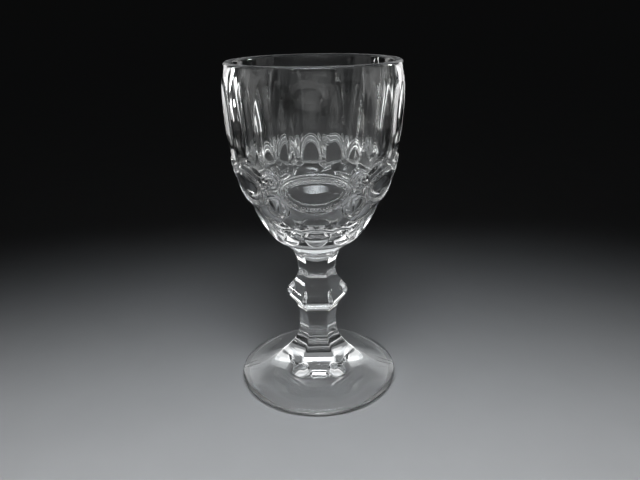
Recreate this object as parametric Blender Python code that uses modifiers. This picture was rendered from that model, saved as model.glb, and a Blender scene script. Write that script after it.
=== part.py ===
"""A pressed-glass red wine goblet: bowl, upper stem, knop, lower stem and foot on one axis.

Metres, +Z up. The origin is the middle of the foot's resting plane, and a medallion of the bowl
faces -Y. Sizes below are in millimetres, measured from the axis and from the resting plane.
"""

import math

import bmesh
import bpy
from mathutils import Matrix, Vector

MM = 0.001

# Stack of the five pieces
HEIGHT = 165.0
JOINT_GAP = 0.3
FOOT_TOP = 16.7
LOWER_STEM_TOP = 41.3
KNOP_TOP = 56.7
UPPER_STEM_TOP = 66.5

# Bowl, as (radius, height) points that its curves pass through
RIM_WALL = 3.0
RIM_RADIUS = 40.9
LIP = RIM_WALL / 2
BOWL_SIDE = (
    (RIM_RADIUS, HEIGHT - LIP),
    (42.0, 157.5),
    (42.3, 149.0),
    (41.4, 135.0),
    (40.0, 126.0),
    (38.5, 117.5),
    (35.9, 109.0),
    (32.6, 101.0),
    (28.9, 93.0),
    (24.9, 85.5),
    (21.2, 80.6),
)
BOWL_SIDE_ROWS = 20
BOWL_FLARE = ((18.6, 79.0), (16.4, 77.0), (12.9, 73.0), (11.0, 69.4), (10.2, 66.8))
BOWL_FLARE_ROWS = 5
BOWL_INSIDE = (
    (0.0, 83.5),
    (8.0, 84.2),
    (16.5, 88.0),
    (25.4, 97.0),
    (31.9, 109.5),
    (35.7, 123.0),
    (38.0, 138.0),
    (38.7, 150.0),
    (RIM_RADIUS - RIM_WALL, HEIGHT - LIP),
)
INSIDE_STEPS = (2, 2, 2, 1, 1, 1, 1, 1)
LIP_POINTS = 4
BOWL_STEPS = 48

# Flutes round the upper bowl, with a ridge in line with a button
FLUTES = 16
FLUTE_DEPTH = 1.45
FLUTE_SHARE = 0.9
FLUTE_TOP = 162.0
FLUTE_BOTTOM = 122.5
FLUTE_TOP_ARCH = 12.0
FLUTE_BOTTOM_ARCH = 5.0

# Belt of oval medallions: a rod for each frame and in it a raised field, by shares of its size
MEDALLIONS = 6
MEDALLION_HEIGHT = 111.7
FRAME_OVAL = (15.9, 9.3)
FRAME_ROD = 0.85
FRAME_POINTS = 26
FIELD_HEIGHT = 112.5
FIELD_OVAL = (11.9, 5.7)
FIELD_RISE = 1.0
FIELD_RINGS = ((1.0, -0.8), (1.0, 0.6), (0.94, 1.0), (0.5, 1.0))
FIELD_POINTS = 20

# In each gap of the belt: a ringed button over a ringed lobe, and a knob at the lobe's foot
BUTTON_HEIGHT = 117.0
BUTTON_RING = 4.0
BUTTON_ROD = 0.75
BUTTON_BOSS = (2.8, 1.0)
LOBE_HEIGHT = 104.4
LOBE_RING = 5.5
LOBE_ROD = 0.9
LOBE_BOSS = (3.9, 0.85)
KNOB_HEIGHT = 98.6
KNOB_BOSS = (1.6, 1.2)
RING_POINTS = 13
BOSS_SEGMENTS = 10

# Thumbprint ovals over the base of the bowl
THUMBPRINTS = 12
THUMBPRINT_HEIGHT = 90.6
THUMBPRINT_HALF_WIDTH = 6.9
THUMBPRINT_HALF_HEIGHT = 9.6
THUMBPRINT_DEPTH = 1.5
THUMB_ROUND = 4.0
THUMB_SEGMENTS = 14

# Six-sided stem, as (corner radius, height) points
SIDES = 6
EDGE_ROUND = 0.7
EDGE_SEGMENTS = 2
FLARE_FACETS = ((10.2, 66.0), (11.2, 69.4), (13.9, 73.0), (18.6, 76.9), (30.0, 81.0), (60.0, 88.0))
UPPER_STEM_SIDE = ((10.2, 66.5), (9.6, 63.0), (9.75, 60.0), (11.1, 57.0))
KNOP_SIDE = (
    (11.3, 56.7),
    (12.5, 55.0),
    (14.3, 53.0),
    (15.6, 51.2),
    (16.05, 49.4),
    (15.8, 47.8),
    (15.0, 46.3),
    (13.6, 44.7),
    (12.3, 43.2),
    (11.2, 41.6),
)
LOWER_STEM_SIDE = (
    (11.0, 41.3),
    (10.3, 39.0),
    (9.85, 36.5),
    (9.7, 33.0),
    (9.8, 29.5),
    (10.3, 26.2),
    (11.2, 23.8),
    (12.6, 21.0),
    (14.4, 18.7),
    (16.05, 17.0),
)

# Foot: a round dome with six flats that run out from the stem, of a half width from stem to edge
FOOT_DOME = ((16.3, 16.7), (19.6, 14.0), (26.0, 10.2), (33.4, 7.0), (39.4, 4.7))
FOOT_DOME_ROWS = 8
FLAT_AT_STEM = 8.1
FLAT_AT_EDGE = 9.5
FLAT_RUN_OUT = ((48.5, 3.6), (60.0, 3.0))
FOOT_EDGE = ((41.0, 3.6), (41.5, 2.4), (41.1, 1.0), (39.6, 0.0))
REST_RING_INNER = 37.4
UNDERSIDE = ((35.0, 0.8), (30.0, 1.7), (20.0, 3.0), (10.0, 3.8), (0.0, 4.1))
FOOT_STEPS = 72

# Glass, and how finely its shapes are worked out
GLASS_COLOUR = (0.93, 0.96, 0.95, 1.0)
GLASS_IOR = 1.52
GLASS_ROUGHNESS = 0.03
MERGE_DISTANCE = 1e-6
SLOPE_STEP = 0.5
NARROWEST = 1e-6
CREASE_ANGLE = math.radians(25.0)
EDGE_ANGLE = math.radians(50.0)


def clear_scene():
    """Removes whatever the file starts with."""
    for old in list(bpy.data.objects):
        bpy.data.objects.remove(old)


def new_collection(name):
    """A collection of the scene."""
    group = bpy.data.collections.new(name)
    bpy.context.scene.collection.children.link(group)
    return group


def glass(name):
    """Clear pressed glass."""
    material = bpy.data.materials.new(name)
    material.use_nodes = True
    shader = material.node_tree.nodes["Principled BSDF"]
    shader.inputs["Base Color"].default_value = GLASS_COLOUR
    shader.inputs["Roughness"].default_value = GLASS_ROUGHNESS
    shader.inputs["Metallic"].default_value = 0.0
    shader.inputs["IOR"].default_value = GLASS_IOR
    shader.inputs["Transmission Weight"].default_value = 1.0
    return material


def slopes(points):
    """Radius per height at each (radius, height) point, from its neighbours."""
    rates = []
    for i in range(len(points)):
        below = points[max(i - 1, 0)]
        above = points[min(i + 1, len(points) - 1)]
        rates.append((above[0] - below[0]) / (above[1] - below[1]))
    return rates


def radius_at(points, height):
    """Radius at a height, on a smooth curve through (radius, height) points in order of height."""
    rates = slopes(points)
    for i in range(len(points) - 1):
        (r0, z0), (r1, z1) = points[i], points[i + 1]
        if (height - z0) * (height - z1) <= 0:
            break
    span = z1 - z0
    t = (height - z0) / span
    return (
        r0 * (1 + 2 * t) * (1 - t) ** 2
        + rates[i] * span * t * (1 - t) ** 2
        + r1 * t * t * (3 - 2 * t)
        + rates[i + 1] * span * t * t * (t - 1)
    )


def smooth_side(points, rows):
    """A side of that many even rows through (radius, height) points."""
    top, bottom = points[0][1], points[-1][1]
    levels = [top + (bottom - top) * i / rows for i in range(rows + 1)]
    return [(radius_at(points, z), z) for z in levels]


def direction(turn):
    """Unit vector at an angle from the front, -Y, towards +X."""
    return Vector((math.sin(turn), -math.cos(turn), 0.0))


def turned(name, profile, steps, group, start=0.0):
    """A body of revolution from a profile that runs from the axis down its outer side to the axis."""
    ray = Vector((math.cos(start), math.sin(start), 0.0))
    points = [ray * radius * MM + Vector((0.0, 0.0, height * MM)) for radius, height in profile]
    mesh = bpy.data.meshes.new(name)
    mesh.from_pydata(points, [(i, i + 1) for i in range(len(points) - 1)], [])
    body = bpy.data.objects.new(name, mesh)
    group.objects.link(body)
    turn = body.modifiers.new("Turn", "SCREW")
    turn.axis = "Z"
    turn.steps = steps
    turn.render_steps = steps
    turn.use_merge_vertices = True
    turn.merge_threshold = MERGE_DISTANCE
    return body


def settle(body):
    """Replaces a body's mesh by what its modifiers make of it."""
    bpy.context.view_layer.update()
    graph = bpy.context.evaluated_depsgraph_get()
    mesh = bpy.data.meshes.new_from_object(body.evaluated_get(graph))
    body.modifiers.clear()
    body.data = mesh


def combine(body, other, operation):
    """Adds a Boolean of a body with a cutter."""
    other.hide_render = True
    other.display_type = "WIRE"
    cut = body.modifiers.new(other.name, "BOOLEAN")
    cut.operation = operation
    cut.object = other


def finish(body, base, root):
    """Puts a piece's origin at its base on the axis, shades it smooth and gives it glass."""
    mesh = body.data
    mesh.transform(Matrix.Translation((0.0, 0.0, -base * MM)))
    body.location.z = base * MM
    body.parent = root
    mesh.shade_smooth()
    mesh.set_sharp_from_angle(angle=CREASE_ANGLE)
    mesh.materials.append(glass(body.name + "_glass"))


def surface_frame(turn, height):
    """Place, sideways, uphill and outward unit vectors on the bowl's side, in millimetres."""
    radius = radius_at(BOWL_SIDE, height)
    above = radius_at(BOWL_SIDE, height + SLOPE_STEP)
    below = radius_at(BOWL_SIDE, height - SLOPE_STEP)
    rate = (above - below) / (2 * SLOPE_STEP)
    outward = (direction(turn) - Vector((0.0, 0.0, rate))).normalized()
    sideways = Vector((math.cos(turn), math.sin(turn), 0.0))
    uphill = outward.cross(sideways)
    return direction(turn) * radius + Vector((0.0, 0.0, height)), sideways, uphill, outward


def press_flutes(body):
    """Draws the outer wall in along the flutes, which end in arches."""
    pitch = 2 * math.pi / FLUTES
    ridge = math.radians(180.0 / MEDALLIONS)
    for vertex in body.data.vertices:
        x, y, z = (value / MM for value in vertex.co)
        radius = math.hypot(x, y)
        if not FLUTE_BOTTOM < z < FLUTE_TOP or radius < radius_at(BOWL_SIDE, z) - LIP:
            continue
        top = min(1.0, (FLUTE_TOP - z) / FLUTE_TOP_ARCH)
        bottom = max(0.0, 1 - (z - FLUTE_BOTTOM) / FLUTE_BOTTOM_ARCH)
        reach = top**2 * (3 - 2 * top) * (1 - bottom**2)
        width = FLUTE_SHARE**2 * max(math.sqrt(reach), NARROWEST)
        across = ((math.atan2(x, -y) - ridge) / pitch) % 1.0
        drawn = radius - FLUTE_DEPTH * reach * max(0.0, 1 - (2 * across - 1) ** 2 / width)
        vertex.co.x *= drawn / radius
        vertex.co.y *= drawn / radius


def oval_on_side(turn, height, oval, share, rise, count):
    """Points of an oval on the bowl's side, at a share of its half sizes and a rise above the side."""
    radius = radius_at(BOWL_SIDE, height)
    points = []
    for i in range(count):
        angle = 2 * math.pi * i / count
        across = turn + share * oval[0] * math.cos(angle) / radius
        place, _, _, outward = surface_frame(across, height + share * oval[1] * math.sin(angle))
        points.append((place + outward * rise) * MM)
    return points


def add_ring(relief, turn, height, oval, rod, count):
    """Adds an oval rod that lies on the bowl's side to a mesh of ornament."""
    curve = bpy.data.curves.new("ring", "CURVE")
    curve.dimensions = "3D"
    curve.bevel_depth = rod * MM
    curve.bevel_resolution = 1
    line = curve.splines.new("POLY")
    line.points.add(count - 1)
    line.use_cyclic_u = True
    for point, spot in zip(line.points, oval_on_side(turn, height, oval, 1.0, 0.0, count)):
        point.co = (*spot, 1.0)
    guide = bpy.data.objects.new("ring", curve)
    relief.from_mesh(bpy.data.meshes.new_from_object(guide))
    bpy.data.objects.remove(guide)


def add_field(relief, turn):
    """Adds the raised oval field of a medallion, which follows the bowl's side, to a mesh."""
    rings = []
    for share, rise in FIELD_RINGS:
        spots = oval_on_side(turn, FIELD_HEIGHT, FIELD_OVAL, share, rise * FIELD_RISE, FIELD_POINTS)
        rings.append([relief.verts.new(spot) for spot in spots])
    for lower, upper in zip(rings, rings[1:]):
        for i in range(FIELD_POINTS):
            relief.faces.new((lower[i - 1], lower[i], upper[i], upper[i - 1]))
    place, _, _, outward = surface_frame(turn, FIELD_HEIGHT)
    for ring, (_, rise) in ((rings[0], FIELD_RINGS[0]), (rings[-1], FIELD_RINGS[-1])):
        middle = relief.verts.new((place + outward * rise * FIELD_RISE) * MM)
        for i in range(FIELD_POINTS):
            relief.faces.new((ring[i - 1], ring[i], middle))


def add_dome(relief, turn, height, size, sink, segments):
    """Adds a flat ball on the bowl's side to a mesh: half sizes across, uphill and outward."""
    place, sideways, uphill, outward = surface_frame(turn, height)
    place = place + outward * sink
    frame = Matrix((sideways * size[0], uphill * size[1], outward * size[2])).transposed().to_4x4()
    frame = Matrix.Translation(place * MM) @ Matrix.Scale(MM, 4) @ frame
    bmesh.ops.create_uvsphere(
        relief, u_segments=segments, v_segments=segments // 2, radius=1.0, matrix=frame
    )


def cutter_from(mesh_data, name, group):
    """An object in the cutters' collection from a mesh in the making."""
    bmesh.ops.recalc_face_normals(mesh_data, faces=mesh_data.faces)
    mesh = bpy.data.meshes.new(name)
    mesh_data.to_mesh(mesh)
    mesh_data.free()
    cutter = bpy.data.objects.new(name, mesh)
    group.objects.link(cutter)
    return cutter


def belt_ornament(group):
    """Frames, then the rings of buttons and lobes, then the fields and bosses inside them all."""
    frames, rings, swellings = bmesh.new(), bmesh.new(), bmesh.new()
    pitch = 2 * math.pi / MEDALLIONS
    for i in range(MEDALLIONS):
        turn = i * pitch
        gap = turn + pitch / 2
        add_ring(frames, turn, MEDALLION_HEIGHT, FRAME_OVAL, FRAME_ROD, FRAME_POINTS)
        add_ring(rings, gap, BUTTON_HEIGHT, (BUTTON_RING, BUTTON_RING), BUTTON_ROD, RING_POINTS)
        add_ring(rings, gap, LOBE_HEIGHT, (LOBE_RING, LOBE_RING), LOBE_ROD, RING_POINTS)
        add_field(swellings, turn)
        bosses = ((BUTTON_HEIGHT, BUTTON_BOSS), (LOBE_HEIGHT, LOBE_BOSS), (KNOB_HEIGHT, KNOB_BOSS))
        for height, (radius, rise) in bosses:
            add_dome(swellings, gap, height, (radius, radius, rise), 0.0, BOSS_SEGMENTS)
    meshes = (("belt_frames", frames), ("belt_rings", rings), ("belt_swellings", swellings))
    return [cutter_from(mesh_data, name, group) for name, mesh_data in meshes]


def thumbprint_cutters(group):
    """Balls that press the row of ovals into the base of the bowl."""
    fall = THUMBPRINT_HALF_WIDTH**2 / (2 * radius_at(BOWL_SIDE, THUMBPRINT_HEIGHT))
    share_across = math.sqrt(1 - (1 - (THUMBPRINT_DEPTH - fall) / THUMB_ROUND) ** 2)
    share_uphill = math.sqrt(1 - (1 - THUMBPRINT_DEPTH / THUMB_ROUND) ** 2)
    size = (THUMBPRINT_HALF_WIDTH / share_across, THUMBPRINT_HALF_HEIGHT / share_uphill, THUMB_ROUND)
    cutters = []
    for i in range(THUMBPRINTS):
        ball = bmesh.new()
        turn = 2 * math.pi * i / THUMBPRINTS
        add_dome(ball, turn, THUMBPRINT_HEIGHT, size, THUMB_ROUND - THUMBPRINT_DEPTH, THUMB_SEGMENTS)
        cutters.append(cutter_from(ball, f"thumbprint_{i + 1}", group))
    return cutters


def make_bowl(parts, cutters):
    """The cup, turned and then fluted, ornamented and faceted where it meets the stem."""
    inside = smooth_inside()
    lip = []
    for i in range(1, LIP_POINTS):
        angle = math.pi * (1 - i / LIP_POINTS)
        lip.append((RIM_RADIUS - LIP + LIP * math.cos(angle), HEIGHT - LIP + LIP * math.sin(angle)))
    side = smooth_side(BOWL_SIDE, BOWL_SIDE_ROWS)
    flare = smooth_side(BOWL_FLARE, BOWL_FLARE_ROWS)
    profile = inside + lip + side + flare + [(0.0, BOWL_FLARE[-1][1])]
    ridge = math.radians(180.0 / MEDALLIONS) - math.pi / 2
    bowl = turned("bowl", profile, BOWL_STEPS, parts, start=ridge)
    settle(bowl)
    press_flutes(bowl)
    facets = [(0.0, FLARE_FACETS[-1][1] + HEIGHT), (FLARE_FACETS[-1][0], FLARE_FACETS[-1][1] + HEIGHT)]
    facets += list(reversed(FLARE_FACETS)) + [(0.0, FLARE_FACETS[0][1])]
    combine(bowl, turned("flare_facets", facets, SIDES, cutters), "INTERSECT")
    for ball in thumbprint_cutters(cutters):
        combine(bowl, ball, "DIFFERENCE")
    for ornament in belt_ornament(cutters):
        combine(bowl, ornament, "UNION")
    settle(bowl)
    return bowl


def smooth_inside():
    """The cup's inner wall from its lowest point on the axis up to the lip."""
    rows = []
    for i, steps in enumerate(INSIDE_STEPS):
        before = BOWL_INSIDE[max(i - 1, 0)]
        after = BOWL_INSIDE[min(i + 2, len(BOWL_INSIDE) - 1)]
        for k in range(steps):
            t = k / steps
            rows.append(
                tuple(
                    p + 0.5 * t * (q - o + t * (2 * o - 5 * p + 4 * q - s + t * (3 * (p - q) + s - o)))
                    for o, p, q, s in zip(before, BOWL_INSIDE[i], BOWL_INSIDE[i + 1], after)
                )
            )
    return rows + [BOWL_INSIDE[-1]]


def make_stem_piece(name, side, parts):
    """A six-sided piece of the stem with softened edges."""
    profile = [(0.0, side[0][1])] + list(side) + [(0.0, side[-1][1])]
    piece = turned(name, profile, SIDES, parts)
    settle(piece)
    soften = piece.modifiers.new("Edges", "BEVEL")
    soften.limit_method = "ANGLE"
    soften.angle_limit = EDGE_ANGLE
    soften.width = EDGE_ROUND * MM
    soften.segments = EDGE_SEGMENTS
    settle(piece)
    return piece


def flat_corner(radius):
    """Corner radius of the hexagon that cuts the foot's flats into a circle of that radius."""
    inner, outer = FOOT_DOME[0][0], FOOT_DOME[-1][0]
    half_width = FLAT_AT_STEM + (FLAT_AT_EDGE - FLAT_AT_STEM) * (radius - inner) / (outer - inner)
    return math.sqrt(radius**2 - half_width**2) / math.cos(math.pi / SIDES)


def make_foot(parts, cutters):
    """The round foot, hollowed a little below, with flats that run out over its dome."""
    dome = smooth_side(FOOT_DOME, FOOT_DOME_ROWS)
    profile = [(0.0, FOOT_TOP)] + dome + list(FOOT_EDGE) + [(REST_RING_INNER, 0.0)] + list(UNDERSIDE)
    foot = turned("foot", profile, FOOT_STEPS, parts)
    flats = [(flat_corner(radius), height) for radius, height in dome]
    above = [(0.0, 2 * FOOT_TOP), (flats[0][0], 2 * FOOT_TOP)]
    below = [(FLAT_RUN_OUT[-1][0], -FOOT_TOP), (0.0, -FOOT_TOP)]
    cutter = turned("foot_flats", above + flats + list(FLAT_RUN_OUT) + below, SIDES, cutters)
    combine(foot, cutter, "INTERSECT")
    settle(foot)
    return foot


def make_goblet():
    """Builds the five pieces and stacks them."""
    clear_scene()
    parts = new_collection("red_wine_goblet")
    cutters = new_collection("cutters")
    root = bpy.data.objects.new("goblet_origin", None)
    parts.objects.link(root)
    finish(make_foot(parts, cutters), 0.0, root)
    lower = make_stem_piece("lower_stem", LOWER_STEM_SIDE, parts)
    finish(lower, FOOT_TOP + JOINT_GAP, root)
    finish(make_stem_piece("knop", KNOP_SIDE, parts), LOWER_STEM_TOP + JOINT_GAP, root)
    finish(make_stem_piece("upper_stem", UPPER_STEM_SIDE, parts), KNOP_TOP + JOINT_GAP, root)
    finish(make_bowl(parts, cutters), UPPER_STEM_TOP + JOINT_GAP, root)


make_goblet()
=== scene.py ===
"""Looks of a pressed-glass red wine goblet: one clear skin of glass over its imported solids."""

import math

import bpy
import numpy as np
from mathutils import Matrix, Vector


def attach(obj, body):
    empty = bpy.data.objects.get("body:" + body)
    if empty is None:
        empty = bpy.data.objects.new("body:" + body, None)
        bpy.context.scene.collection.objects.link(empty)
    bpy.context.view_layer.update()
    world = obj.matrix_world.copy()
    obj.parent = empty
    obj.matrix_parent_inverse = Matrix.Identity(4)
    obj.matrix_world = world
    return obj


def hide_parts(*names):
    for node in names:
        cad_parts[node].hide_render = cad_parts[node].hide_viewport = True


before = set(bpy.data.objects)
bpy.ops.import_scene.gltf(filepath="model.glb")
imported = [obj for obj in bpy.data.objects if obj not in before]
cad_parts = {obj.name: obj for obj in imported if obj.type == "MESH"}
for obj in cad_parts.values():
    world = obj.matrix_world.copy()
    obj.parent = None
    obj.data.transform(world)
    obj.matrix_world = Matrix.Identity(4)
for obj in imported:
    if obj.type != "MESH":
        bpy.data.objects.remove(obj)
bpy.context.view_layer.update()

MM = 0.001
TINY = 1e-6

# Heights where one piece of glass runs on into the next, in millimetres above the table
FOOT_TOP = 16.85
LOWER_STEM_TOP = 41.45
KNOP_TOP = 56.85
UPPER_STEM_TOP = 66.65
HEIGHT = 165.0

# Columns round the axis, fine where the bowl is pressed with ornament, and steps along its height
FINE = 720
PLAIN = 240
LIP_STEPS = 12
SIDE_STEPS = 24
INSIDE_STEPS = 7
FLARE_STEPS = 5
STEM_STEPS = 6
FOOT_STEPS = 8
EDGE_STEPS = 5
ORNAMENT_ROW = 0.28
BASE_ROW = 0.55
FLUTE_ROW = 2.4
FLUTE_TOP_ROW = 1.2
BELT_BOTTOM = 96.5

# Bowl, as (radius, height) points
RIM_WALL = 3.0
RIM_RADIUS = 40.9
LIP = RIM_WALL / 2
BOWL_SIDE = (
    (RIM_RADIUS, HEIGHT - LIP),
    (41.86, 157.5),
    (42.06, 149.0),
    (41.4, 135.0),
    (40.0, 126.0),
    (38.5, 117.5),
    (35.9, 109.0),
    (32.6, 101.0),
    (28.9, 93.0),
    (24.9, 85.5),
    (21.2, 80.6),
)
BOWL_FLARE = ((20.2, 79.8), (18.6, 79.0), (16.4, 77.0), (12.9, 73.0), (11.0, 69.4), (10.2, 66.65))
FLARE_ROUNDING = (68.5, 77.5)
BOWL_INSIDE = (
    (0.0, 83.5),
    (8.0, 84.2),
    (16.5, 88.0),
    (25.4, 97.0),
    (31.9, 109.5),
    (35.7, 123.0),
    (38.0, 138.0),
    (38.7, 150.0),
    (RIM_RADIUS - RIM_WALL, HEIGHT - LIP),
)

# Flutes round the upper bowl
FLUTES = 16
FLUTE_DEPTH = 1.3
FLUTE_SHARE = 0.9
FLUTE_TOP = 163.0
FLUTE_BOTTOM = 122.5
FLUTE_TOP_ARCH = 20.0
FLUTE_BOTTOM_ARCH = 5.0

# Belt of beaded oval medallions: half width and half height of each line of the frame
MEDALLIONS = 6
RIB_ROUNDNESS = 0.7
OVAL_STEPS = 2000
MEDALLION_HEIGHT = 111.7
BELT_RADIUS = 37.1
FRAME_OVAL = (15.9, 9.3)
FRAME_RIB = (0.8, 0.9)
BEAD_OVAL = (14.0, 7.6)
BEADS = 40
BEAD_RADIUS = 0.74
BEAD_RISE = 1.0
FIELD_LIFT = 0.8
FIELD_OVAL = (11.9, 5.7)
FIELD_RISE = 1.0
FIELD_SQUARENESS = 8

# Between the medallions: a ringed button with two leaves, and a lobe with a palmette and a knob
BUTTON_HEIGHT = 117.0
BUTTON_RINGS = ((4.0, 0.65, 1.0), (2.35, 0.55, 0.9))
BUTTON_BOSS = (1.1, 1.1)
LEAF_PLACE = (7.0, 3.3)
LEAF_OVAL = (2.9, 1.05)
LEAF_TILT = math.radians(-34)
LEAF_RISE = 1.0
LOBE_HEIGHT = 104.4
LOBE_RADIUS = 5.5
LOBE_RIB = (0.8, 1.2)
PALMETTE_ROOT = -4.4
PALMETTE_PETALS = 5
PALMETTE_SPREAD = math.radians(150)
PALMETTE_RISE = 0.85
PALMETTE_MARGIN = 0.7
PETAL_ROUNDNESS = 0.6
KNOB_HEIGHT = 98.6
KNOB = (1.6, 1.2)

# Thumbprint ovals over the base of the bowl
THUMBPRINTS = 12
THUMBPRINT_HEIGHT = 90.6
THUMBPRINT_OVAL = (7.2, 8.8)
THUMBPRINT_DEPTH = 2.0

# Six-sided stem, as (corner radius, height) points
SIDES = 6
CRISPNESS = 80
UPPER_STEM_SIDE = ((10.2, 66.65), (9.6, 63.0), (9.75, 60.0), (11.2, 56.85))
KNOP_SIDE = (
    (11.2, 56.85),
    (12.5, 55.0),
    (14.3, 53.0),
    (15.6, 51.2),
    (16.05, 49.4),
    (15.8, 47.8),
    (15.0, 46.3),
    (13.6, 44.7),
    (12.3, 43.2),
    (11.1, 41.45),
)
LOWER_STEM_SIDE = (
    (11.1, 41.45),
    (10.3, 39.0),
    (9.85, 36.5),
    (9.7, 33.0),
    (9.8, 29.5),
    (10.3, 26.2),
    (11.2, 23.8),
    (12.6, 21.0),
    (14.4, 18.7),
    (16.2, 16.85),
)

# Foot: six flats run out from the stem over its dome, as (radius, half width) points
FOOT_DOME = ((16.2, 16.85), (19.6, 14.0), (26.0, 10.2), (33.4, 7.0), (39.4, 4.7))
FOOT_FLAT = ((16.2, 8.1), (39.4, 9.5))
FOOT_FLAT_FADE = ((38.6, 1.0), (41.0, 0.0))
FOOT_EDGE = ((39.4, 4.7), (41.0, 3.6), (41.5, 2.4), (41.1, 1.0), (39.6, 0.0))
REST_RING_INNER = 37.4
UNDERSIDE = ((REST_RING_INNER, 0.0), (35.0, 0.8), (30.0, 1.7), (20.0, 3.0), (10.0, 3.8), (0.0, 4.1))


def curve(points, steps):
    """A smooth line through (radius, height) points, with that many steps in each span."""
    line = []
    for i in range(len(points) - 1):
        o, p, q, s = (np.array(points[min(max(k, 0), len(points) - 1)]) for k in range(i - 1, i + 3))
        for k in range(steps):
            t = k / steps
            line.append(
                p + 0.5 * t * (q - o + t * (2 * o - 5 * p + 4 * q - s + t * (3 * (p - q) + s - o)))
            )
    line.append(np.array(points[-1]))
    return np.array(line)


def side_radius(heights):
    """Radius of the bowl's outer side at each height."""
    line = curve(BOWL_SIDE, SIDE_STEPS)[::-1]
    return np.interp(heights, line[:, 1], line[:, 0])


def flatted(radius, flat, turns):
    """Radius, at each angle, of a circle with six flats of a half width, one of them to the front."""
    near = np.sqrt(radius**2 - flat**2)
    total = np.ones_like(turns)
    for i in range(SIDES):
        facing = np.clip(np.cos(turns - 2 * math.pi * i / SIDES), 0, None)
        total += (radius * facing / near) ** CRISPNESS
    return radius * total ** (-1 / CRISPNESS)


def full_flat(line):
    """Half width of six flats that meet at the corners, along a line of (radius, height) points."""
    return line[:, 0] / 2


def oval_gap(x, y, oval):
    """About how far outside an oval each point lies."""
    a, b = oval
    size = (x / a) ** 2 + (y / b) ** 2 - 1
    steep = 2 * np.hypot(x / a**2, y / b**2)
    return size / np.maximum(steep, TINY)


def rib(gap, half_width, height):
    """A rounded rib along a line, from the distance to the line."""
    return height * np.clip(1 - (gap / half_width) ** 2, 0, None) ** RIB_ROUNDNESS


def dome(x, y, oval, height):
    """A rounded swelling inside an oval."""
    return height * np.sqrt(np.clip(1 - (x / oval[0]) ** 2 - (y / oval[1]) ** 2, 0, None))


def ball(x, y, radius, height):
    """A round bead standing on the surface."""
    return dome(x, y, (radius, radius), height)


def oval_stations(oval, count):
    """Evenly spaced places along an oval."""
    a, b = oval
    fine = np.linspace(0, 2 * math.pi, OVAL_STEPS + 1)
    x, y = a * np.cos(fine), b * np.sin(fine)
    run = np.concatenate([[0], np.cumsum(np.hypot(np.diff(x), np.diff(y)))])
    stops = np.interp(np.arange(count) * run[-1] / count, run, fine)
    return list(zip(a * np.cos(stops), b * np.sin(stops)))


def wrapped(turns, count, start=0.0):
    """Angle from the nearest of a count of even stations."""
    pitch = 2 * math.pi / count
    return (turns - start + pitch / 2) % pitch - pitch / 2


def highest(*reliefs):
    """The highest of several reliefs at each point."""
    return np.maximum.reduce(reliefs)


def flute_relief(turns, heights):
    """How far the flutes lie below the bowl's side. A ridge is in line with each button."""
    top = np.clip((FLUTE_TOP - heights) / FLUTE_TOP_ARCH, 0, 1)
    bottom = np.clip(1 - (heights - FLUTE_BOTTOM) / FLUTE_BOTTOM_ARCH, 0, 1)
    reach = top**2 * (3 - 2 * top) * (1 - bottom**2)
    width = np.maximum(np.sqrt(reach), TINY)
    middle = math.pi / MEDALLIONS + math.pi / FLUTES
    off = wrapped(turns, FLUTES, middle) / (FLUTE_SHARE * math.pi / FLUTES)
    return -FLUTE_DEPTH * reach * np.clip(1 - off**2 / width, 0, None)


def medallion_relief(turns, heights):
    """Frame, beads and smooth swelling field of the oval medallions."""
    x = wrapped(turns, MEDALLIONS) * BELT_RADIUS
    y = heights - MEDALLION_HEIGHT
    share = (x / FIELD_OVAL[0]) ** 2 + ((y - FIELD_LIFT) / FIELD_OVAL[1]) ** 2
    field = FIELD_RISE * np.sqrt(np.clip(1 - share ** (FIELD_SQUARENESS / 2), 0, None))
    rise = np.maximum(field, rib(oval_gap(x, y, FRAME_OVAL), *FRAME_RIB))
    for bead_x, bead_y in oval_stations(BEAD_OVAL, BEADS):
        rise = np.maximum(rise, ball(x - bead_x, y - bead_y, BEAD_RADIUS, BEAD_RISE))
    return rise


def button_relief(turns, heights):
    """Ringed buttons in the upper gaps between medallions, each between two leaves."""
    x = wrapped(turns, MEDALLIONS, math.pi / MEDALLIONS) * BELT_RADIUS
    y = heights - BUTTON_HEIGHT
    out = np.hypot(x, y)
    rise = ball(x, y, *BUTTON_BOSS)
    for radius, half_width, height in BUTTON_RINGS:
        rise = np.maximum(rise, rib(out - radius, half_width, height))
    for side in (-1, 1):
        from_leaf = side * x - LEAF_PLACE[0]
        above = y - LEAF_PLACE[1]
        along = from_leaf * math.cos(LEAF_TILT) - above * math.sin(LEAF_TILT)
        across = from_leaf * math.sin(LEAF_TILT) + above * math.cos(LEAF_TILT)
        rise = np.maximum(rise, dome(along, across, LEAF_OVAL, LEAF_RISE))
    return rise


def lobe_relief(turns, heights):
    """Round lobes in the lower gaps between medallions, each with a palmette over a knob."""
    x = wrapped(turns, MEDALLIONS, math.pi / MEDALLIONS) * side_radius(LOBE_HEIGHT)
    y = heights - LOBE_HEIGHT
    out = np.hypot(x, y)
    spread = np.arctan2(x, y - PALMETTE_ROOT)
    petals = np.abs(np.cos(spread * PALMETTE_PETALS * math.pi / PALMETTE_SPREAD)) ** PETAL_ROUNDNESS
    reach = np.clip(LOBE_RADIUS - PALMETTE_MARGIN - out, 0, 1)
    return highest(
        rib(out - LOBE_RADIUS, *LOBE_RIB),
        PALMETTE_RISE * petals * reach,
        ball(x, heights - KNOB_HEIGHT, *KNOB),
    )


def thumbprint_relief(turns, heights):
    """Flattened ovals over the base of the bowl."""
    x = wrapped(turns, THUMBPRINTS) * side_radius(THUMBPRINT_HEIGHT)
    y = heights - THUMBPRINT_HEIGHT
    share = (x / THUMBPRINT_OVAL[0]) ** 2 + (y / THUMBPRINT_OVAL[1]) ** 2
    return -THUMBPRINT_DEPTH * np.clip(1 - share, 0, None)


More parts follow.
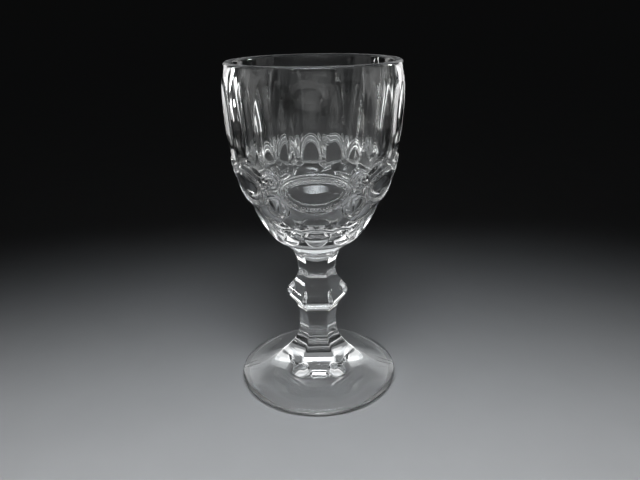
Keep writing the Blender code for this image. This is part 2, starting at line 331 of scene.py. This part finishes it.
def bowl_relief(turns, heights):
    """All that is pressed into the bowl's outer side, in millimetres along its normal."""
    raised = highest(
        medallion_relief(turns, heights),
        button_relief(turns, heights),
        lobe_relief(turns, heights),
    )
    return raised + flute_relief(turns, heights) + thumbprint_relief(turns, heights)


def outward(line):
    """Normals of a line that runs down the outer side, in the plane of radius and height."""
    along = np.gradient(line, axis=0)
    normal = np.stack([-along[:, 1], along[:, 0]], axis=1)
    return normal / np.linalg.norm(normal, axis=1)[:, None]


def ring_angles(count):
    """Angles round the axis from the front, -Y, towards +X."""
    return np.arange(count) * 2 * math.pi / count


def rings(line, count, flat=None, sixness=1.0, relief=None):
    """Points of a turned surface: one ring of points for each (radius, height) of a line."""
    grid = np.broadcast_to(ring_angles(count), (len(line), count))
    radius = np.broadcast_to(line[:, :1], grid.shape)
    height = np.broadcast_to(line[:, 1:], grid.shape)
    if flat is not None:
        cut = flatted(line[:, :1], flat[:, None], grid)
        radius = radius + np.reshape(sixness, (-1, 1)) * (cut - radius)
    if relief:
        push = relief(grid, height)
        normal = outward(line)
        radius = radius + push * normal[:, :1]
        height = height + push * normal[:, 1:]
    return np.stack([radius * np.sin(grid), -radius * np.cos(grid), height], axis=2)


class Skin:
    """A closed surface that grows ring by ring."""

    def __init__(self):
        self.points, self.faces, self.total = [], [], 0
        self.last = None

    def pole(self, height):
        """A point on the axis."""
        self.points.append(np.array([[0.0, 0.0, height]]))
        self.join(np.array([self.total]))
        self.total += 1

    def add(self, grid):
        """Rings of points, each joined to the one before."""
        for ring in grid:
            self.points.append(ring)
            self.join(np.arange(self.total, self.total + len(ring)))
            self.total += len(ring)

    def join(self, ring):
        """Faces between the last ring and a new one, which may have more or fewer points."""
        last, self.last = self.last, ring
        if last is None:
            return
        count = max(len(last), len(ring))
        for i in range(count):
            j = (i + 1) % count
            a, b = last[i * len(last) // count], last[j * len(last) // count]
            c, d = ring[j * len(ring) // count], ring[i * len(ring) // count]
            face = [k for n, k in enumerate((a, b, c, d)) if k not in (a, b, c, d)[:n]]
            self.faces.append(tuple(reversed(face)))


def rows_between(low, high, step):
    """Heights from high down to low at about that step."""
    return np.linspace(high, low, max(2, int(round((high - low) / step)) + 1))


def bowl_side_line():
    """The bowl's outer side, with rows close together where there is ornament."""
    arch_foot = FLUTE_TOP - FLUTE_TOP_ARCH
    ornament_top = FLUTE_BOTTOM + FLUTE_BOTTOM_ARCH
    bands = (
        (arch_foot, FLUTE_TOP, FLUTE_TOP_ROW),
        (ornament_top, arch_foot, FLUTE_ROW),
        (BELT_BOTTOM, ornament_top, ORNAMENT_ROW),
        (BOWL_SIDE[-1][1], BELT_BOTTOM, BASE_ROW),
    )
    heights = np.concatenate([rows_between(*band) for band in bands])
    heights = np.unique(heights)[::-1]
    return np.stack([side_radius(heights), heights], axis=1)


def lip_line():
    """The rounded rim."""
    angles = np.linspace(math.pi, 0, LIP_STEPS + 1)[1:]
    middle = np.array([RIM_RADIUS - LIP, HEIGHT - LIP])
    return middle + LIP * np.stack([np.cos(angles), np.sin(angles)], axis=1)


def make_skin():
    """The whole surface of the goblet, from the bottom of its cup over the rim down to its foot."""
    skin = Skin()
    inside = curve(BOWL_INSIDE, INSIDE_STEPS)
    skin.pole(inside[0][1])
    skin.add(rings(inside[1:], PLAIN))
    skin.add(rings(lip_line(), PLAIN))
    skin.add(rings(bowl_side_line(), FINE, relief=bowl_relief))
    flare = curve(BOWL_FLARE, FLARE_STEPS)[:-1]
    sixness = np.interp(flare[:, 1], FLARE_ROUNDING, (1, 0))
    skin.add(rings(flare, PLAIN, full_flat(flare), sixness))
    for side in (UPPER_STEM_SIDE, KNOP_SIDE, LOWER_STEM_SIDE):
        line = curve(side, STEM_STEPS)[:-1]
        skin.add(rings(line, PLAIN, full_flat(line)))
    top = np.concatenate([curve(FOOT_DOME, FOOT_STEPS)[:-1], curve(FOOT_EDGE, EDGE_STEPS)])
    flat = np.interp(top[:, 0], *zip(*FOOT_FLAT))
    sixness = np.interp(top[:, 0], *zip(*FOOT_FLAT_FADE))
    skin.add(rings(top, PLAIN, flat, sixness))
    under = curve(UNDERSIDE, STEM_STEPS)
    skin.add(rings(under[:-1], PLAIN))
    skin.pole(under[-1][1])
    return skin


def point_normals(points, faces):
    """Smooth normals of a surface at its points."""
    normals = np.zeros_like(points)
    for size in (3, 4):
        group = np.array([f for f in faces if len(f) == size])
        across = points[group[:, 2]] - points[group[:, 0]]
        along = points[group[:, -1]] - points[group[:, 1]]
        if size == 3:
            across = points[group[:, 1]] - points[group[:, 0]]
        normal = np.cross(across, along)
        for corner in range(size):
            np.add.at(normals, group[:, corner], normal)
    return normals / np.maximum(np.linalg.norm(normals, axis=1), TINY**2)[:, None]


def make_pieces(material):
    """Cuts the surface at the joints, which leaves no face inside the glass."""
    skin = make_skin()
    points = np.concatenate(skin.points) * MM
    faces = skin.faces
    normals = point_normals(points, faces)
    joints = (0.0, FOOT_TOP, LOWER_STEM_TOP, KNOP_TOP, UPPER_STEM_TOP, HEIGHT)
    names = ("foot", "lower_stem", "knop", "upper_stem", "bowl")
    middle = np.array([points[list(f), 2].mean() for f in faces]) / MM
    for name, low, high in zip(names, joints, joints[1:]):
        mine = [faces[i] for i in np.flatnonzero((middle >= low) & (middle < high))]
        used = np.unique(np.concatenate([np.array(f) for f in mine]))
        place = {int(k): n for n, k in enumerate(used)}
        mesh = bpy.data.meshes.new(name + "_glass")
        mesh.from_pydata(points[used].tolist(), [], [[place[k] for k in f] for f in mine])
        mesh.shade_smooth()
        mesh.normals_split_custom_set_from_vertices(normals[used].tolist())
        mesh.materials.append(material)
        piece = bpy.data.objects.new(name + "_glass", mesh)
        bpy.context.scene.collection.objects.link(piece)
        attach(piece, "root")
        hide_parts(name)


# Places of the colour sockets on a Mix node, whose names repeat
MIX_FACTOR, MIX_LOW, MIX_HIGH, MIX_RESULT = 0, 6, 7, 2


class Shade:
    """A socket of a material's nodes that can be used in Python sums."""

    def __init__(self, tree, socket=None):
        self.tree, self.socket = tree, socket

    def node(self, kind, settings=None, sockets=None, out=0):
        """Adds a node: its settings first, then the values or links of its sockets."""
        node = self.tree.nodes.new(kind)
        for name, value in (settings or {}).items():
            setattr(node, name, value)
        for name, value in (sockets or {}).items():
            self.feed(node.inputs[name], value)
        return Shade(self.tree, node.outputs[out])

    def feed(self, target, value):
        """Links a shade to a socket, or sets the socket's own value."""
        if isinstance(value, Shade):
            self.tree.links.new(value.socket, target)
        else:
            target.default_value = value

    def sum(self, operation, *values, clamp=False):
        """A Math node on values and shades."""
        settings = {"operation": operation, "use_clamp": clamp}
        return self.node("ShaderNodeMath", settings, dict(enumerate(values)))

    def __add__(self, other):
        return self.sum("ADD", self, other)

    def __sub__(self, other):
        return self.sum("SUBTRACT", self, other)

    def __rsub__(self, other):
        return self.sum("SUBTRACT", other, self)

    def __mul__(self, other):
        return self.sum("MULTIPLY", self, other)

    def __truediv__(self, other):
        return self.sum("DIVIDE", self, other)

    __radd__ = __add__
    __rmul__ = __mul__

    def held(self):
        """The value kept between 0 and 1."""
        return self.sum("ADD", self, 0.0, clamp=True)

    def size(self):
        """The value without its sign."""
        return self.sum("ABSOLUTE", self)

    def blend(self, low, high):
        """A colour between two others, by this value."""
        sockets = {MIX_FACTOR: self, MIX_LOW: low, MIX_HIGH: high}
        return self.node("ShaderNodeMix", {"data_type": "RGBA"}, sockets, out=MIX_RESULT)

    def split(self):
        """The three parts of a vector."""
        node = self.node("ShaderNodeSeparateXYZ", {}, {"Vector": self}).socket.node
        return [Shade(self.tree, output) for output in node.outputs]

    def noise(self, scale, detail):
        """Cloudy noise over a place."""
        return self.node("ShaderNodeTexNoise", {}, {"Vector": self, "Scale": scale, "Detail": detail})


def new_material(name):
    """A material with its shader, and a shade to build on."""
    material = bpy.data.materials.new(name)
    material.use_nodes = True
    tree = material.node_tree
    return material, tree.nodes["Principled BSDF"], Shade(tree)


# Glass: its tints, waves and smears, the mould's seam across the foot and the worn resting ring
GLASS_IOR = 1.52
GLASS_TINTS = ((0.975, 0.985, 0.98, 1.0), (0.99, 0.995, 0.995, 1.0))
WAVES = {"scale": 70.0, "detail": 1.0}
WAVE_HEIGHT = 0.12 * MM
SMEARS = {"scale": 190.0, "detail": 5.0}
SMEAR_START = 0.55
SMEAR_ROUGHNESS = 0.08
RING_WEAR_HEIGHT = 0.5 * MM
RING_WEAR_ROUGHNESS = 0.3
SEAM_HALF_WIDTH = 0.45 * MM
SEAM_HEIGHT = 0.25 * MM
SEAM_INNER = 30 * MM
SEAM_FADE = 4 * MM
SEAM_TOP = 12 * MM


def glass_material():
    """Clear pressed glass: faintly wavy, with a seam of the mould and a dulled resting ring."""
    material, shader, start = new_material("clear_pressed_glass")
    place = start.node("ShaderNodeTexCoord", out="Object")
    x, y, z = place.split()
    wave = place.noise(**WAVES)
    smear = place.noise(**SMEARS)
    ring_wear = (1 - z / RING_WEAR_HEIGHT).held()
    roughness = (smear - SMEAR_START).held() * SMEAR_ROUGHNESS + ring_wear * RING_WEAR_ROUGHNESS
    start.feed(shader.inputs["Roughness"], roughness)
    start.feed(shader.inputs["Base Color"], wave.blend(*GLASS_TINTS))
    near_seam = (1 - y.size() / SEAM_HALF_WIDTH).held()
    on_foot = ((x.size() - SEAM_INNER) / SEAM_FADE).held() * (1 - z / SEAM_TOP).held()
    height = wave * WAVE_HEIGHT + near_seam * on_foot * SEAM_HEIGHT
    bump = start.node("ShaderNodeBump", {}, {"Strength": 1.0, "Distance": 1.0, "Height": height})
    start.feed(shader.inputs["Normal"], bump)
    shader.inputs["IOR"].default_value = GLASS_IOR
    shader.inputs["Transmission Weight"].default_value = 1.0
    return material


# Floor: a plane a hair below the foot, so that the resting ring stays clear glass
FLOOR_HALF = 30.0
FLOOR_DROP = 0.2 * MM
FLOOR_COLOURS = ((0.5, 0.5, 0.51, 1.0), (0.54, 0.54, 0.55, 1.0))
FLOOR_MOTTLE = {"scale": 35.0, "detail": 6.0}
FLOOR_ROUGHNESS = 0.75
FLOOR_ROUGHNESS_RANGE = 0.2


def floor_material():
    """Pale matt floor with the faintest mottling."""
    material, shader, start = new_material("pale_floor")
    mottle = start.node("ShaderNodeTexCoord", out="Object").noise(**FLOOR_MOTTLE)
    start.feed(shader.inputs["Base Color"], mottle.blend(*FLOOR_COLOURS))
    start.feed(shader.inputs["Roughness"], mottle * FLOOR_ROUGHNESS_RANGE + FLOOR_ROUGHNESS)
    shader.inputs["Specular IOR Level"].default_value = 0.0
    return material


def softbox(name, place, aim, size, watts, beam, colour=(1.0, 1.0, 1.0)):
    """A soft lamp with a plain rectangular face."""
    lamp = bpy.data.lights.new(name, "AREA")
    lamp.shape = "RECTANGLE"
    lamp.size, lamp.size_y = size
    lamp.energy = watts
    lamp.color = colour
    lamp.spread = math.radians(beam)
    holder = bpy.data.objects.new(name, lamp)
    holder.location = place
    holder.visible_camera = False
    holder.rotation_euler = (Vector(aim) - Vector(place)).to_track_quat("-Z", "Y").to_euler()
    bpy.context.scene.collection.objects.link(holder)
    return holder


def make_stage():
    """A plain pale floor that runs out of sight."""
    signs = ((-1, -1), (1, -1), (1, 1), (-1, 1))
    corners = [(x * FLOOR_HALF, y * FLOOR_HALF, -FLOOR_DROP) for x, y in signs]
    mesh = bpy.data.meshes.new("floor")
    mesh.from_pydata(corners, [], [(0, 1, 2, 3)])
    mesh.materials.append(floor_material())
    floor = bpy.data.objects.new("floor", mesh)
    bpy.context.scene.collection.objects.link(floor)


# Light that the room shows to the glass: dim all over, a little more from the horizon up, and a broad
# ring of it high on the walls, short of the ceiling. Each step is (lowest, highest, gain) by the
# direction's height. The camera sees the room as dark as the far floor, so that no horizon shows.
ROOM_LEVEL = 0.006
FAR_FLOOR = 0.52
ROOM_STEPS = ((0.0, 0.12, 0.25), (0.36, 0.5, 0.7), (0.56, 0.7, -0.8))
ROOM_COLOUR = (0.95, 0.98, 1.0, 1.0)


def make_room():
    """A dark room with a ring of soft light, which the glass shows and the floor under it doesn't."""
    world = bpy.data.worlds.new("studio_room")
    world.use_nodes = True
    start = Shade(world.node_tree)
    up = start.node("ShaderNodeTexCoord", out="Generated").split()[2]
    rays = start.node("ShaderNodeLightPath").socket.node.outputs
    mirrored = Shade(start.tree, rays["Is Glossy Ray"])
    passed = Shade(start.tree, rays["Is Transmission Ray"])
    scattered = Shade(start.tree, rays["Diffuse Depth"])
    watched = Shade(start.tree, rays["Is Camera Ray"])
    ring = 0.0
    for low, high, gain in ROOM_STEPS:
        sockets = {"Value": up, "From Min": low, "From Max": high, "To Min": 0.0, "To Max": gain}
        ring = start.node("ShaderNodeMapRange", {"interpolation_type": "SMOOTHSTEP"}, sockets) + ring
    background = world.node_tree.nodes["Background"]
    shown = (mirrored + passed).held() * (1 - scattered).held()
    level = ROOM_LEVEL - watched * (ROOM_LEVEL * (1 - FAR_FLOOR))
    start.feed(background.inputs["Strength"], ring * shown + level)
    background.inputs["Color"].default_value = ROOM_COLOUR
    bpy.context.scene.world = world


# Lamps, as place and aim, size of the face in metres, watts and beam in degrees. The cards stand to
# both sides, as (name, degrees from the front, height, width, watts), and light only the glass.
LAMPS = {
    "left_softbox": ((-0.43, 0.18, 0.16), (0.0, 0.0, 0.165), (0.05, 0.11), 0.025, 26),
    "right_softbox": ((0.43, 0.15, 0.28), (0.0, 0.0, 0.165), (0.05, 0.09), 0.02, 26),
    "front_card": ((0.0, -0.62, 0.16), (0.0, 0.0, 0.15), (0.7, 0.14), 0.03, 70),
}
CARDS = (
    ("side", 80, 0.13, 0.3, 0.02),
    ("back", 138, 0.13, 0.12, 0.028),
    ("high", 145, 0.27, 0.3, 0.02),
)
CARD_REACH = 0.48
CARD_AIM = (0.0, 0.0, 0.11)
CARD_TALL = 0.24
CARD_BEAM = 64
TOP_LAMP = ((0.0, -0.20, 0.46), (0.0, -0.08, 0.1), (0.42, 0.06), 0.12, 50)
TOP_LAMP_COLOUR = (0.9, 0.96, 1.0)
FLOOR_LAMP = ((0.0, -0.27, 0.30), (0.0, -0.27, 0.0), (0.7, 0.3), 0.7, 90)


def make_lights():
    """Soft studio lamps."""
    make_room()
    for name, lamp in LAMPS.items():
        softbox(name, *lamp)
    for hand, side in (("left", -1), ("right", 1)):
        for name, degrees, height, width, watts in CARDS:
            turn = math.radians(degrees)
            place = (CARD_REACH * side * math.sin(turn), -CARD_REACH * math.cos(turn), height)
            card = softbox(f"{hand}_{name}_card", place, CARD_AIM, (width, CARD_TALL), watts, CARD_BEAM)
            card.visible_diffuse = False
    softbox("top_softbox", *TOP_LAMP, TOP_LAMP_COLOUR)
    softbox("floor_softbox", *FLOOR_LAMP).visible_glossy = False


# The photograph's view, in pixels of its width and degrees
IMAGE_WIDTH = 640.0
LENS_PIXELS = 589.0
SENSOR_WIDTH = 36.0
CAMERA_PLACE = (0.0, -0.279, 0.1846)
CAMERA_ASIDE = 3.8
CAMERA_DOWN = 21.1
CAMERA_ROLL = -0.98
CAMERA_NEAR = 0.01


def make_camera():
    """The photograph's view: a little above the rim, looking down at the glass."""
    camera = bpy.data.cameras.new("camera")
    camera.sensor_width = SENSOR_WIDTH
    camera.lens = SENSOR_WIDTH * LENS_PIXELS / IMAGE_WIDTH
    camera.clip_start = CAMERA_NEAR
    holder = bpy.data.objects.new("camera", camera)
    yaw = Matrix.Rotation(-math.atan2(CAMERA_ASIDE, LENS_PIXELS), 4, "Z")
    pitch = Matrix.Rotation(math.radians(90.0 - CAMERA_DOWN), 4, "X")
    roll = Matrix.Rotation(math.radians(CAMERA_ROLL), 4, "Z")
    holder.matrix_world = Matrix.Translation(CAMERA_PLACE) @ yaw @ pitch @ roll
    bpy.context.scene.collection.objects.link(holder)
    bpy.context.scene.camera = holder


make_camera()
make_pieces(glass_material())
make_stage()
make_lights()
bpy.context.scene.view_settings.view_transform = "Standard"
